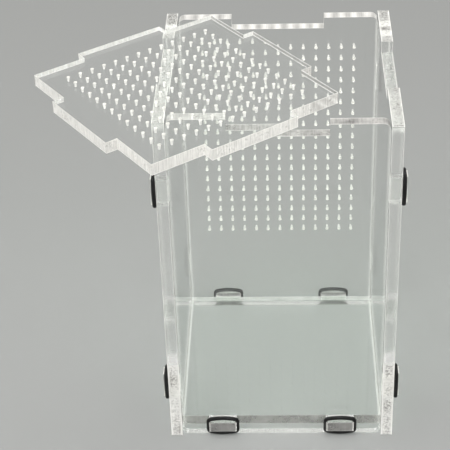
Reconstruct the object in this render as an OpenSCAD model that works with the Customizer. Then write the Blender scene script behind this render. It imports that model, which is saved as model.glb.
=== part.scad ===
// Flat-pack keeper for spiders and insects: six panels cut from clear acrylic sheet.
// Tabs on the front, rear and floor panels pass through slots in their neighbours,
// and a black rubber ring stretched round the end of each tab locks it.
// The lid lies loose and askew on the rim, as when the keeper stands open.
// Millimetres. X runs to the right, Y to the rear, Z up. The origin is the middle of
// the box on the surface that it stands on.

/* [Sheet] */
// Thickness of the clear sheet that every panel is cut from
sheet_t = 5; // [3:0.5:8]
// Air gap between neighbouring panels and round each tab in its slot
fit_gap = 0.1; // [0.05:0.05:0.3]

/* [Box] */
// Clear width between the two side panels
inner_w = 90; // [80:1:160]
// Clear depth between the front and rear panels
inner_d = 90; // [80:1:160]
// Height of the four upright panels
box_h = 162; // [140:1:240]
// How far the side panels reach past the front and rear panels
side_lap = 2; // [1:0.5:6]
// Corner radius of the front and rear panels
panel_corner_r = 3.2; // [0.5:0.1:6]
// Corner radius of the side panels
side_corner_r = 0.8; // [0.3:0.1:3]
// Height of the floor panel's underside above the table
floor_rise = 3; // [2:0.5:10]

/* [Tabs] */
// Width of every tab across its wide parts
tab_w = 12.5; // [9:0.5:16]
// Height of the lower side tabs' middle above the table
low_tab_z = 28.5; // [22:0.5:45]
// Drop of the upper side tabs' middle below the rim
high_tab_drop = 31; // [20:0.5:45]
// Distance of the floor panel's tabs from the side panels
floor_tab_inset = 18.5; // [14:0.5:28]
// Depth of the notch that the ring sits in, on each side of a tab
notch_d = 0.75; // [0.4:0.05:1.2]
// Length of the lip that keeps the ring on
lip_l = 0.5; // [0.5:0.1:2]
// Radius of the lip's outer corners
lip_r = 0.4; // [0.2:0.1:0.4]

/* [Rubber rings] */
// Diameter of the rings' round cord
ring_cord = 1.8; // [1:0.1:2.5]
// Radius at which a ring bends round a tab's corners, on its inside
ring_bend_r = 0.4; // [0.1:0.05:0.6]
// How far a ring bows out in the middle of the tab's wide faces
ring_bow = 0.6; // [0.2:0.1:1]
// Clearance between a ring and the faces that it bears on
ring_gap = 0.05; // [0.02:0.01:0.1]

/* [Rim] */
// Width of the recess in each rim that takes a tab of the lid
recess_w = 41.5; // [25:0.5:60]
// How far the recess is deeper than the lid is thick
recess_sink = 0.2; // [0:0.1:1]
// Play of the lid in the box and of its tabs in the recesses, on each side
lid_play = 0.2; // [0.1:0.05:0.8]

/* [Air holes] */
// Diameter of the air holes where the laser enters the sheet
vent_d = 1.5; // [1:0.1:3]
// How much narrower the air holes are where the laser leaves the sheet
vent_taper = 0.6; // [0.1:0.1:0.8]
// Distance from hole to hole, across and up
vent_pitch = 5.75; // [4:0.25:6.25]
// Number of holes across the lid and the rear panel, and along the lid
vent_n = 13; // [3:1:13]
// Number of rows in the rear panel
vent_rows = 18; // [3:1:19]
// Drop of the rear panel's top row below the rim
vent_drop = 15; // [10:0.5:25]

/* [Lid as it lies] */
// Middle of the lid, to the right of the box's middle
lid_x = -38.4; // [-42:0.1:-30]
// Middle of the lid, behind the box's middle
lid_y = -24.1; // [-30:0.1:-15]
// Turn of the lid, anticlockwise from above
lid_turn = 36.8; // [20:0.1:50]
// Gap between the lid's underside and the rim
lid_gap = 0.1; // [0.05:0.05:0.3]

/* [Hidden] */
$fn = 48;
half_w = inner_w / 2;
half_d = inner_d / 2;
side_panel_d = inner_d + 2 * (sheet_t + side_lap);
high_tab_z = box_h - high_tab_drop;
recess_d = sheet_t + recess_sink;
floor_tab_x = half_w - floor_tab_inset;
groove_w = ring_cord + 2 * ring_gap;
tab_reach = sheet_t + groove_w + lip_l;
notched_w = tab_w - 2 * notch_d;
slot_w = tab_w + 2 * fit_gap;
slot_h = sheet_t + 2 * fit_gap;
floor_z = floor_rise + sheet_t / 2;
// A ring's bend clears the tab's square corner by the ring gap, here in whole hundredths
ring_hug = ceil(100 * (ring_bend_r * (1 - sqrt(1 / 2)) + ring_gap)) / 100;
ring_turn_r = ring_bend_r + ring_cord / 2;
ring_turn_x = notched_w / 2 + ring_hug - ring_bend_r;
ring_turn_y = sheet_t / 2 + ring_hug - ring_bend_r;
// Half of the angle that a bowed run spans, and its radius and centre
ring_lean = 2 * atan(ring_bow / ring_turn_x);
ring_bow_r = ring_turn_r + ring_turn_x / sin(ring_lean);
ring_bow_y = ring_turn_y - (ring_bow_r - ring_turn_r) * cos(ring_lean);
// A bend's cord is this much thinner, so that it ends inside the runs
ring_thin = 0.04;
ring_out = sheet_t + groove_w / 2;
// Overlap of shapes that are joined, and overshoot of shapes that cut
joint = 1;

// Outline of a panel that stands on y = 0, centred on x = 0, with round corners
module upright_outline(w, h, r) {
    translate([-w / 2 + r, 0])
        square([w - 2 * r, h]);
    translate([-w / 2, r])
        square([w, h - 2 * r]);
    for (x = [-w / 2 + r, w / 2 - r], y = [r, h - r])
        translate([x, y])
            circle(r);
}

// Recess in the middle of a rim at height h
module rim_recess() {
    translate([-recess_w / 2, box_h - recess_d])
        square([recess_w, recess_d + joint]);
}

// Outline of a tab that points along +x from a neighbour's inner face at x = 0
module tab_outline() {
    translate([-fit_gap - joint, -tab_w / 2])
        square([fit_gap + joint + sheet_t, tab_w]);
    translate([0, -notched_w / 2])
        square([tab_reach, notched_w]);
    translate([sheet_t + groove_w, -tab_w / 2])
        square([lip_l - lip_r, tab_w]);
    translate([sheet_t + groove_w, -tab_w / 2 + lip_r])
        square([lip_l, tab_w - 2 * lip_r]);
    for (y = [-tab_w / 2 + lip_r, tab_w / 2 - lip_r])
        intersection() {
            translate([tab_reach - lip_r, y])
                circle(lip_r);
            translate([sheet_t + groove_w, y - lip_r])
                square([lip_l, 2 * lip_r]);
        }
}

// Cutters for a block of air holes through a sheet that lies on z = 0, widest at the top.
// The block is centred on the x axis, with its first row at y = 0 and the rest below.
module vents(columns, rows) {
    flare = vent_taper / sheet_t * joint;
    for (i = [0 : columns - 1], j = [0 : rows - 1])
        translate([(i - (columns - 1) / 2) * vent_pitch, -j * vent_pitch, -joint])
            cylinder(
                h = sheet_t + 2 * joint, d1 = vent_d - vent_taper - flare, d2 = vent_d + flare
            );
}

// Outline that the front and rear panels share, seen from the front
module end_panel_outline() {
    difference() {
        union() {
            upright_outline(inner_w - 2 * fit_gap, box_h, panel_corner_r);
            for (side = [0, 1], z = [low_tab_z, high_tab_z])
                mirror([side, 0])
                    translate([half_w, z])
                        tab_outline();
        }
        rim_recess();
        for (x = [-floor_tab_x, floor_tab_x])
            translate([x - slot_w / 2, floor_z - slot_h / 2])
                square([slot_w, slot_h]);
    }
}

// Outline of a side panel, seen from the right
module side_panel_outline() {
    difference() {
        upright_outline(side_panel_d, box_h, side_corner_r);
        rim_recess();
        for (side = [0, 1], z = [low_tab_z, high_tab_z])
            mirror([side, 0])
                translate([half_d - fit_gap, z - slot_w / 2])
                    square([slot_h, slot_w]);
    }
}

// Outline of the floor panel, seen from above
module floor_outline() {
    square([inner_w - 2 * fit_gap, inner_d - 2 * fit_gap], center = true);
    for (side = [0, 1], x = [-floor_tab_x, floor_tab_x])
        mirror([0, side])
            translate([x, half_d])
                rotate(90)
                    tab_outline();
}

// Outline of the lid, seen from above
module lid_outline() {
    lid_tab_w = recess_w - 2 * lid_play;
    square([inner_w - 2 * lid_play, inner_d - 2 * lid_play], center = true);
    square([lid_tab_w, inner_d + 2 * sheet_t], center = true);
    square([inner_w + 2 * sheet_t, lid_tab_w], center = true);
}

// Stands a sheet that lies on z = 0 up, so that its middle plane is the x-z plane
module stand() {
    translate([0, sheet_t / 2, 0])
        rotate([90, 0, 0])
            children();
}

// Cord of thickness d along an arc of radius r, from one angle to another
module cord_arc(r, from, to, d) {
    rotate(from)
        rotate_extrude(angle = to - from)
            translate([r, 0])
                circle(d = d);
}

// Rubber ring round a tab: wide along x, with the tab's thickness along y
module stretched_ring() {
    bend_overlap = 3;
    for (turn = [0, 180])
        rotate(turn) {
            translate([ring_turn_x + ring_turn_r, ring_turn_y, 0])
                rotate([90, 0, 0])
                    cylinder(h = 2 * ring_turn_y, d = ring_cord);
            translate([0, ring_bow_y])
                cord_arc(ring_bow_r, 90 - ring_lean, 90 + ring_lean, ring_cord);
            for (side = [0, 1])
                mirror([side, 0, 0])
                    translate([ring_turn_x, ring_turn_y])
                        cord_arc(
                            ring_turn_r, -bend_overlap, 90 - ring_lean + bend_overlap,
                            ring_cord - ring_thin
                        );
        }
}

module ring() {
    color([0.05, 0.05, 0.05])
        stretched_ring();
}

// Ring on a side tab: side is -1 left or 1 right, end is -1 front or 1 rear
module side_ring(side, end, z) {
    translate([side * (half_w + ring_out), end * (half_d + sheet_t / 2), z])
        rotate([90, 0, 90])
            rotate([0, 0, 90])
                ring();
}

// Ring on a tab of the floor panel, placed in the same way
module floor_ring(side, end) {
    translate([side * floor_tab_x, end * (half_d + ring_out), floor_z])
        rotate([90, 0, 0])
            ring();
}

module clear_sheet() {
    color([0.86, 0.92, 0.88, 0.35])
        children();
}

module side_panel(side) {
    clear_sheet()
        translate([side * (half_w + sheet_t / 2), 0, 0])
            rotate([0, 0, 90])
                stand()
                    linear_extrude(sheet_t)
                        side_panel_outline();
}

module left_panel() {
    side_panel(-1);
}

module right_panel() {
    side_panel(1);
}

module front_panel() {
    clear_sheet()
        translate([0, -half_d - sheet_t / 2, 0])
            stand()
                linear_extrude(sheet_t)
                    end_panel_outline();
}

module rear_panel() {
    clear_sheet()
        translate([0, half_d + sheet_t / 2, 0])
            stand()
                difference() {
                    linear_extrude(sheet_t)
                        end_panel_outline();
                    translate([0, box_h - vent_drop, 0])
                        vents(vent_n, vent_rows);
                }
}

module floor_panel() {
    clear_sheet()
        translate([0, 0, floor_rise])
            linear_extrude(sheet_t)
                floor_outline();
}

module lid() {
    clear_sheet()
        translate([lid_x, lid_y, box_h + lid_gap])
            rotate([0, 0, lid_turn])
                difference() {
                    linear_extrude(sheet_t)
                        lid_outline();
                    translate([0, (vent_n - 1) / 2 * vent_pitch, 0])
                        vents(vent_n, vent_n);
                }
}

left_panel();
right_panel();
front_panel();
rear_panel();
floor_panel();
lid();
side_ring(-1, -1, high_tab_z);  // ring_front_upper_left
side_ring(1, -1, high_tab_z);  // ring_front_upper_right
side_ring(-1, -1, low_tab_z);  // ring_front_lower_left
side_ring(1, -1, low_tab_z);  // ring_front_lower_right
side_ring(-1, 1, high_tab_z);  // ring_rear_upper_left
side_ring(1, 1, high_tab_z);  // ring_rear_upper_right
side_ring(-1, 1, low_tab_z);  // ring_rear_lower_left
side_ring(1, 1, low_tab_z);  // ring_rear_lower_right
floor_ring(-1, -1);  // ring_floor_front_left
floor_ring(1, -1);  // ring_floor_front_right
floor_ring(-1, 1);  // ring_floor_rear_left
floor_ring(1, 1);  // ring_floor_rear_right
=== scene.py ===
from math import cos, pi, radians, sin

import bpy
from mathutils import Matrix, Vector

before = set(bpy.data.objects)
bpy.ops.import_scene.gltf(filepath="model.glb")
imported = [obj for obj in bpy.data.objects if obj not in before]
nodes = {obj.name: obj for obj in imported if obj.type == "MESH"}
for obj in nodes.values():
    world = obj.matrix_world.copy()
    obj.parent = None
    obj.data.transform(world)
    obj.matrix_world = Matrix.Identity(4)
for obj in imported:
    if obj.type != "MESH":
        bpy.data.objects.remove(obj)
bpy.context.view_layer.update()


# Camera: a long lens close above the front, looking down into the open box from the
# photograph's place, with the small roll of a camera held by hand.
camera_data = bpy.data.cameras.new("camera")
camera_data.sensor_fit = "HORIZONTAL"
camera_data.sensor_width = 36.0
camera_data.lens = 119.22
camera_data.clip_start = 0.01
camera_data.clip_end = 50.0
camera = bpy.data.objects.new("camera", camera_data)
camera.location = (0.00246, -0.56094, 0.45938)
camera.rotation_euler = (radians(56.0007), radians(1.7207), radians(1.6199))
bpy.context.scene.collection.objects.link(camera)
bpy.context.scene.camera = camera
bpy.context.scene.view_settings.view_transform = "Standard"


# Studio: a pale matt table that runs on past the picture on every side, in a pale room
# that is brightest overhead. It isn't part of the keeper.
table_width = 8.0
table_height = -0.0002
wall_glow = 0.55
ceiling_glow = 2.0
ceiling_edge = 0.65


def wire(tree, node, inputs):
    """Set each of a node's inputs to its value, or link it to the socket that feeds it."""
    for name, value in inputs.items():
        if isinstance(value, bpy.types.NodeSocket):
            tree.links.new(value, node.inputs[name])
        else:
            node.inputs[name].default_value = value
    return node


def ramp(tree, value, low, high, to_low=0.0, to_high=1.0):
    return wire(tree, tree.nodes.new("ShaderNodeMapRange"), {
        "Value": value, "From Min": low, "From Max": high, "To Min": to_low, "To Max": to_high,
    }).outputs["Result"]


bpy.ops.object.select_all(action="DESELECT")
bpy.ops.mesh.primitive_plane_add(size=table_width, location=(0.0, 0.0, table_height))
table = bpy.context.object
table.name = "table"
table_paint = bpy.data.materials.new("table_paint")
table_paint.use_nodes = True
wire(table_paint.node_tree, table_paint.node_tree.nodes["Principled BSDF"], {
    "Base Color": (0.27, 0.275, 0.27, 1.0), "Roughness": 0.9, "Specular IOR Level": 0.2,
})
table.data.materials.append(table_paint)

world = bpy.data.worlds.new("room")
bpy.context.scene.world = world
world.use_nodes = True
room = world.node_tree
heading = room.nodes.new("ShaderNodeTexCoord")
height = wire(room, room.nodes.new("ShaderNodeSeparateXYZ"), {0: heading.outputs["Generated"]})
wire(room, room.nodes["Background"], {
    "Color": (1.0, 0.99, 0.97, 1.0),
    "Strength": ramp(room, height.outputs["Z"], ceiling_edge, 1.0, wall_glow, ceiling_glow),
})


# Lamps: a large soft key high on the left and a weaker one on the right that fills the
# cut edges. Both stand in front and don't glare back from the polished faces.
keeper_middle = Vector((0.0, 0.0, 0.08))


def soft_lamp(name, place, width, height, power):
    lamp_data = bpy.data.lights.new(name, "AREA")
    lamp_data.shape = "RECTANGLE"
    lamp_data.size = width
    lamp_data.size_y = height
    lamp_data.energy = power
    lamp = bpy.data.objects.new(name, lamp_data)
    lamp.location = place
    lamp.rotation_euler = (keeper_middle - lamp.location).to_track_quat("-Z", "Y").to_euler()
    lamp.visible_glossy = False
    bpy.context.scene.collection.objects.link(lamp)


soft_lamp("key_lamp", place=(-0.65, -0.80, 1.20), width=0.9, height=0.7, power=15.0)
soft_lamp("front_lamp", place=(0.70, -0.90, 1.00), width=0.8, height=0.6, power=8.5)


# Side panels: clear cast acrylic, polished on both faces, with slots that the other panels'
# tabs pass through. The laser leaves its cuts finely ribbed across the sheet: pale on the
# rims and at the foot of the front edges, and nearly clear along the rest of the edges.
sideways = Vector((1.0, 0.0, 0.0))
rearwards = Vector((0.0, 1.0, 0.0))
upwards = Vector((0.0, 0.0, 1.0))
hole_pitch = 0.00575
scorched = (0.70, 0.685, 0.655, 1.0)
chalky = (0.95, 0.935, 0.90, 1.0)
sooty = (0.15, 0.14, 0.13, 1.0)


def extent(piece, axis):
    """Where a piece begins and ends along an axis."""
    places = [Vector(corner).dot(axis) for corner in nodes[piece].bound_box]
    return min(places), max(places)


inner_face, outer_face = extent("right_panel", sideways)
rim_height = extent("right_panel", upwards)[1]
lower_tabs_top = 0.041

# where the cuts change, each with a short fade: heights above the table, then distances
# from the middle of the box
foot_top = (lower_tabs_top - 0.0005, lower_tabs_top + 0.0020)
recess_floor = (rim_height - 0.0120, rim_height - 0.0070)
rim_top = (rim_height - 0.0042, rim_height - 0.0036)
flank_start = (inner_face - 0.0010, inner_face - 0.0003)
tip_start = (outer_face + 0.0002, outer_face + 0.0006)
corner_highlight_start = (inner_face - 0.0012, inner_face - 0.0009)
corner_highlight_end = (inner_face, inner_face + 0.0001)

# how far a normal leans towards an axis, from a face along it to a face across it
turned = (0.3, 0.7)


def maths(tree, operation, *values):
    node = tree.nodes.new("ShaderNodeMath")
    node.operation = operation
    return wire(tree, node, dict(enumerate(values))).outputs[0]


def vector_maths(tree, operation, inputs, output):
    node = tree.nodes.new("ShaderNodeVectorMath")
    node.operation = operation
    return wire(tree, node, inputs).outputs[output]


def along(tree, vector, direction):
    return vector_maths(tree, "DOT_PRODUCT", {0: vector, 1: direction}, "Value")


def noise(tree, vector, scale, detail, roughness=0.6):
    return wire(tree, tree.nodes.new("ShaderNodeTexNoise"), {
        "Vector": vector, "Scale": scale, "Detail": detail, "Roughness": roughness,
    }).outputs["Fac"]


def blend(tree, share, low, high):
    factor, first_colour, second_colour, blended_colour = 0, 6, 7, 2
    node = tree.nodes.new("ShaderNodeMix")
    node.data_type = "RGBA"
    wire(tree, node, {factor: share, first_colour: low, second_colour: high})
    return node.outputs[blended_colour]


def laser_cut_group():
    group = bpy.data.node_groups.new("laser_cut_edge", "ShaderNodeTree")
    kinds = {"Sheet Axis": "NodeSocketVector", "Colour": "NodeSocketColor"}
    for way, names in (
        ("INPUT", (
            "Sheet Axis", "Sheet Middle", "Half Thickness", "Rib Scale",
            "Frost", "Rim Frost", "Recess Frost", "Tip Frost", "Flank Frost", "Foot Frost",
            "Sole Frost", "Border Highlight Frost", "Rib Depth", "Patch Depth", "Painted Glow Depth",
            "Soot", "Corner Highlight",
        )),
        ("OUTPUT", ("Frosted", "Colour", "Roughness", "Height")),
    ):
        for name in names:
            kind = kinds.get(name, "NodeSocketFloat")
            group.interface.new_socket(name=name, in_out=way, socket_type=kind)
    given = group.nodes.new("NodeGroupInput").outputs
    where = group.nodes.new("ShaderNodeTexCoord").outputs
    place = wire(group, group.nodes.new("ShaderNodeSeparateXYZ"), {0: where["Object"]}).outputs
    facing = wire(group, group.nodes.new("ShaderNodeSeparateXYZ"), {0: where["Normal"]}).outputs

    # a face is cut where its normal lies in the plane of the sheet
    lean = along(group, where["Normal"], given["Sheet Axis"])
    cut = ramp(group, maths(group, "ABSOLUTE", lean), *turned, 1.0, 0.0)

    # ribs run through the sheet, so their pattern is drawn out along its axis
    rib_stretch = -0.96
    across = along(group, where["Object"], given["Sheet Axis"])
    back = vector_maths(group, "SCALE", {
        0: given["Sheet Axis"], "Scale": maths(group, "MULTIPLY", across, rib_stretch),
    }, "Vector")
    drawn = vector_maths(group, "ADD", {0: where["Object"], 1: back}, "Vector")
    ribs = noise(group, drawn, scale=given["Rib Scale"], detail=3.0)
    rib_swing = maths(group, "SUBTRACT", ribs, 0.5)
    cloud = noise(group, where["Object"], scale=160.0, detail=2.0)
    cloud_swing = maths(group, "SUBTRACT", cloud, 0.5)

    # 0 in the middle of the cut and 1 at its two borders, where a painted highlight stands in for
    # the bright lines of the polished faces seen edge-on
    border_highlight_fade = (0.84, 0.97)
    off_middle = maths(group, "ABSOLUTE", maths(group, "SUBTRACT", across, given["Sheet Middle"]))
    share = maths(group, "DIVIDE", off_middle, given["Half Thickness"])
    border_highlight = ramp(group, share, *border_highlight_fade)

    # ribs and clouds stand out chalky from the scorched cut, and its borders are painted chalky
    # as a highlight
    cloud_in_tone = 0.2
    chalk_fade = (-0.1, 0.3)
    tone = maths(group, "MULTIPLY", rib_swing, given["Rib Depth"])
    tone = maths(group, "MULTIPLY_ADD", cloud, cloud_in_tone, tone)
    tone = ramp(group, tone, *chalk_fade)
    colour = blend(group, maths(group, "MAXIMUM", tone, border_highlight), scorched, chalky)

    # frost differs from cut to cut: on the rims, in their recesses, at the tabs' tips, along
    # the upright flanks, and on upright and level cuts at the foot of the box
    reach = maths(group, "ABSOLUTE", place["X"])
    depth = maths(group, "ABSOLUTE", place["Y"])
    looks_up = ramp(group, facing["Z"], *turned)
    rim = maths(group, "MULTIPLY", looks_up, ramp(group, place["Z"], *rim_top))
    top = maths(group, "MULTIPLY", looks_up, ramp(group, place["Z"], *recess_floor))
    recess = maths(group, "SUBTRACT", top, rim)
    tip = ramp(group, maths(group, "MAXIMUM", reach, depth), *tip_start)
    elsewhere = maths(group, "SUBTRACT", 1.0, maths(group, "MAXIMUM", looks_up, tip))
    flank = maths(group, "MULTIPLY", ramp(group, reach, *flank_start), elsewhere)
    low = ramp(group, place["Z"], *foot_top, 1.0, 0.0)
    level = ramp(group, maths(group, "ABSOLUTE", facing["Z"]), *turned)
    sole = maths(group, "MULTIPLY", low, level)
    foot = maths(group, "SUBTRACT", low, sole)
    haze = given["Frost"]
    for mask, own in (
        (rim, "Rim Frost"), (recess, "Recess Frost"), (tip, "Tip Frost"),
        (flank, "Flank Frost"), (foot, "Foot Frost"), (sole, "Sole Frost"),
    ):
        more = maths(group, "SUBTRACT", given[own], given["Frost"])
        haze = maths(group, "MULTIPLY_ADD", mask, more, haze)
    patch = maths(group, "MULTIPLY", cloud_swing, given["Patch Depth"])
    haze = maths(group, "MULTIPLY_ADD", haze, patch, haze)
    # painted highlight: the borders of the cut are frosted paler
    haze = maths(group, "MULTIPLY_ADD", border_highlight, given["Border Highlight Frost"], haze)
    haze = maths(group, "MULTIPLY_ADD", rib_swing, given["Rib Depth"], haze)

    # painted glow: a rim is frosted paler in beads over the columns of air holes below it
    painted_glow = maths(group, "COSINE", maths(group, "MULTIPLY", place["X"], 2.0 * pi / hole_pitch))
    painted_glow = maths(group, "MULTIPLY", painted_glow, top)
    haze = maths(group, "MULTIPLY_ADD", painted_glow, given["Painted Glow Depth"], haze)

    # soot lies in flecks in the middle of the cuts, and thicker on the rims and at the foot
    fleck_fade = (1.0, 1.18)
    thickest_soot = 0.85
    soot_fade = (0.55, 0.8)
    flecks = noise(group, where["Object"], scale=1100.0, detail=2.0)
    grit = given["Soot"]
    for spread, weight in ((flecks, 0.6), (cloud, 0.4), (top, 0.36), (foot, 0.35)):
        grit = maths(group, "MULTIPLY_ADD", spread, weight, grit)
    grit = ramp(group, grit, *fleck_fade, 0.0, thickest_soot)
    grit = maths(group, "MULTIPLY", grit, ramp(group, share, *soot_fade, 1.0, 0.0))

    # a pale band painted on the faces, along the edges at the sides just inside the side panels,
    # is a painted highlight of the corner lines
    corner_highlight = ramp(group, reach, *corner_highlight_end, 1.0, 0.0)
    corner_highlight = maths(group, "MULTIPLY", ramp(group, reach, *corner_highlight_start), corner_highlight)
    corner_highlight = maths(group, "MULTIPLY", corner_highlight, given["Corner Highlight"])
    frosted = maths(group, "MAXIMUM", maths(group, "MULTIPLY", cut, haze), corner_highlight)
    frosted.node.use_clamp = True

    cut_roughness = 0.09
    wire(group, group.nodes.new("NodeGroupOutput"), {
        "Frosted": frosted,
        "Colour": blend(group, grit, colour, sooty),
        "Roughness": maths(group, "MULTIPLY", cut, cut_roughness),
        "Height": maths(group, "MULTIPLY", cut, ribs),
    })
    return group


laser_cut = laser_cut_group()


def clear_acrylic(piece, axis, cuts, rib_scale=1900.0):
    near_face, far_face = extent(piece, axis)
    acrylic_ior = 1.49
    acrylic = bpy.data.materials.new(piece + "_acrylic")
    acrylic.use_nodes = True
    tree = acrylic.node_tree

    edge = tree.nodes.new("ShaderNodeGroup")
    edge.node_tree = laser_cut
    wire(tree, edge, {
        "Sheet Axis": axis, "Sheet Middle": (far_face + near_face) / 2.0,
        "Half Thickness": (far_face - near_face) / 2.0, "Rib Scale": rib_scale,
    })
    wire(tree, edge, cuts)
    ridges = wire(tree, tree.nodes.new("ShaderNodeBump"), {
        "Strength": 0.4, "Distance": 0.0001, "Height": edge.outputs["Height"],
    })

    polished = wire(tree, tree.nodes["Principled BSDF"], {
        "Base Color": (0.983, 0.992, 0.985, 1.0), "IOR": acrylic_ior,
        "Transmission Weight": 1.0, "Roughness": edge.outputs["Roughness"],
        "Normal": ridges.outputs["Normal"],
    })
    frosted = wire(tree, tree.nodes.new("ShaderNodeBsdfPrincipled"), {
        "Base Color": edge.outputs["Colour"], "IOR": acrylic_ior, "Roughness": 0.4,
        "Transmission Weight": 0.2, "Normal": ridges.outputs["Normal"],
    })
    body = wire(tree, tree.nodes.new("ShaderNodeMixShader"), {
        0: edge.outputs["Frosted"], 1: polished.outputs[0], 2: frosted.outputs[0],
    })

    # the lamps shine through the sheet
    see_through = wire(tree, tree.nodes.new("ShaderNodeBsdfTransparent"), {
        "Color": (0.93, 0.95, 0.935, 1.0),
    })
    ray = tree.nodes.new("ShaderNodeLightPath")
    lit = wire(tree, tree.nodes.new("ShaderNodeMixShader"), {
        0: ray.outputs["Is Shadow Ray"], 1: body.outputs[0], 2: see_through.outputs[0],
    })
    wire(tree, tree.nodes["Material Output"], {"Surface": lit.outputs[0]})
    nodes[piece].data.materials[0] = acrylic
    return tree


front_edge = (-0.040, -0.030)
edge_frost = 0.04
foot_frost = 0.7
for piece, rim_frost in (("left_panel", 0.34), ("right_panel", 0.5)):
    side_tree = clear_acrylic(piece, sideways, {
        "Frost": edge_frost, "Rim Frost": rim_frost, "Recess Frost": 0.28,
        "Tip Frost": edge_frost, "Flank Frost": edge_frost, "Sole Frost": edge_frost,
        "Border Highlight Frost": 0.45, "Rib Depth": 0.2, "Patch Depth": 1.2, "Painted Glow Depth": 0.0,
        "Soot": 0.2, "Corner Highlight": 0.0,
    })
    side_place = side_tree.nodes.new("ShaderNodeTexCoord").outputs["Object"]
    side_depth = along(side_tree, side_place, rearwards)
    wire(side_tree, side_tree.nodes["Group"], {
        "Foot Frost": ramp(side_tree, side_depth, *front_edge, foot_frost, edge_frost),
    })


# Front panel: the same sheet between the side panels, with two tabs through each of them
# and two slots at its foot for the floor's tabs.
clear_acrylic("front_panel", rearwards, {
    "Frost": 0.12, "Rim Frost": 0.5, "Recess Frost": 0.4, "Tip Frost": 0.95,
    "Flank Frost": 0.12, "Foot Frost": 0.3, "Sole Frost": 0.12, "Border Highlight Frost": 0.3,
    "Rib Depth": 0.35, "Patch Depth": 1.6, "Painted Glow Depth": 0.0, "Soot": 0.1, "Corner Highlight": 0.1,
})


# Rear panel: a twin of the front panel with a block of fine air holes cut by the laser,
# whose walls are as pale as its edges.
clear_acrylic("rear_panel", rearwards, {
    "Frost": 0.7, "Rim Frost": 0.75, "Recess Frost": 0.75, "Tip Frost": 0.95,
    "Flank Frost": 0.15, "Foot Frost": 0.3, "Sole Frost": 0.2, "Border Highlight Frost": 0.2,
    "Rib Depth": 0.3, "Patch Depth": 0.4, "Painted Glow Depth": 0.17, "Soot": 0.0, "Corner Highlight": 0.12,
})


# Floor panel: the same sheet laid flat a little above the table, held by two tabs to the
# front and two to the rear.
clear_acrylic("floor_panel", upwards, {
    "Frost": 0.3, "Rim Frost": 0.3, "Recess Frost": 0.3, "Tip Frost": 0.3,
    "Flank Frost": 0.12, "Foot Frost": 0.3, "Sole Frost": 0.3, "Border Highlight Frost": 0.15,
    "Rib Depth": 0.08, "Patch Depth": 1.0, "Painted Glow Depth": 0.0, "Soot": 0.0, "Corner Highlight": 0.12,
})


# Lid: a square of the same sheet with a tab on each side and a block of air holes, lying loose
# and askew on the rim. Its cuts are frosted pale, partly real frost and partly painted light
# piped through the sheet; the cut of its right side carries more soot than the others.
lid_turn = radians(36.8)
lid_right = Vector((cos(lid_turn), sin(lid_turn), 0.0))
right_edge = (-0.0060, -0.0040)
faces_right = (0.980, 0.995)
lid_tree = clear_acrylic("lid", upwards, {
    "Rim Frost": 0.75, "Recess Frost": 0.75, "Rib Depth": 0.6, "Patch Depth": 0.5,
    "Painted Glow Depth": 0.0, "Corner Highlight": 0.0,
}, rib_scale=2300.0)
lid_where = lid_tree.nodes.new("ShaderNodeTexCoord").outputs
lid_reach = along(lid_tree, lid_where["Object"], lid_right)
lid_facing = maths(lid_tree, "ABSOLUTE", along(lid_tree, lid_where["Normal"], lid_right))
right_side = maths(
    lid_tree, "MULTIPLY",
    ramp(lid_tree, lid_reach, *right_edge), ramp(lid_tree, lid_facing, *faces_right),
)
# the heavy frost on the lid's cuts is partly painted light, standing in for light piped through
# the sheet
for sockets, elsewhere, there in (
    (("Frost", "Tip Frost", "Flank Frost", "Foot Frost", "Sole Frost"), 0.75, 0.8),
    (("Border Highlight Frost",), 0.25, 0.4),
    (("Soot",), 0.45, 1.0),
):
    amount = ramp(lid_tree, right_side, 0.0, 1.0, elsewhere, there)
    wire(lid_tree, lid_tree.nodes["Group"], dict.fromkeys(sockets, amount))


# Rubber rings: black cord rings stretched round the tabs' ends, satin with the faint
# bloom and dust of moulded rubber.
clean_black = (0.004, 0.004, 0.004, 1.0)
dusty_black = (0.014, 0.014, 0.015, 1.0)
dust_fade = (0.45, 0.75)
satin, dull = 0.36, 0.6
ring_rubber = bpy.data.materials.new("ring_rubber")
ring_rubber.use_nodes = True
ring_tree = ring_rubber.node_tree
ring_place = ring_tree.nodes.new("ShaderNodeTexCoord").outputs["Object"]
grain = noise(ring_tree, ring_place, scale=2600.0, detail=3.0, roughness=0.5)
bloom = noise(ring_tree, ring_place, scale=330.0, detail=4.0, roughness=0.5)
skin = wire(ring_tree, ring_tree.nodes.new("ShaderNodeBump"), {
    "Strength": 0.25, "Distance": 0.0001, "Height": grain,
})
dust = ramp(ring_tree, bloom, *dust_fade)
wire(ring_tree, ring_tree.nodes["Principled BSDF"], {
    "Base Color": blend(ring_tree, dust, clean_black, dusty_black),
    "Roughness": ramp(ring_tree, bloom, 0.0, 1.0, satin, dull),
    "Specular IOR Level": 0.3,
    "Normal": skin.outputs["Normal"],
})
for name in nodes:
    if name.startswith("ring_"):
        nodes[name].data.materials[0] = ring_rubber
